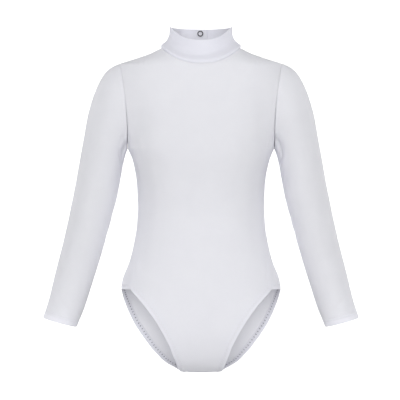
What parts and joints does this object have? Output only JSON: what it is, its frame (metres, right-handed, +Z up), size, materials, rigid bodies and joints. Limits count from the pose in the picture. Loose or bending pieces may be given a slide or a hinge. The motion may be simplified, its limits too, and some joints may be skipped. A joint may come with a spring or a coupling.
{
  "type": "gymnastics leotard",
  "caption": "Child's long-sleeved stretch leotard with a stand collar and ring snap at the back neck, filled out as worn but empty.",
  "frame": {"origin": "midway between the shoulders at the base of the neck, where the wearer holds the garment up", "axes": "+Z up, the front faces -Y, the wearer's left is at +X"},
  "size_m": [0.471, 0.1476, 0.5175],
  "materials": {
    "white_knit": "smooth matt stretch knit",
    "dark_metal": "dark plated"
  },
  "bodies": {
    "root": {"front_panel": "white_knit", "back_panel": "white_knit", "sleeve_left": "white_knit", "sleeve_right": "white_knit", "collar": "white_knit", "snap_cap": "dark_metal", "snap_socket": "dark_metal", "snap_stud": "dark_metal", "snap_ring": "dark_metal"}
  },
  "joints": []
}
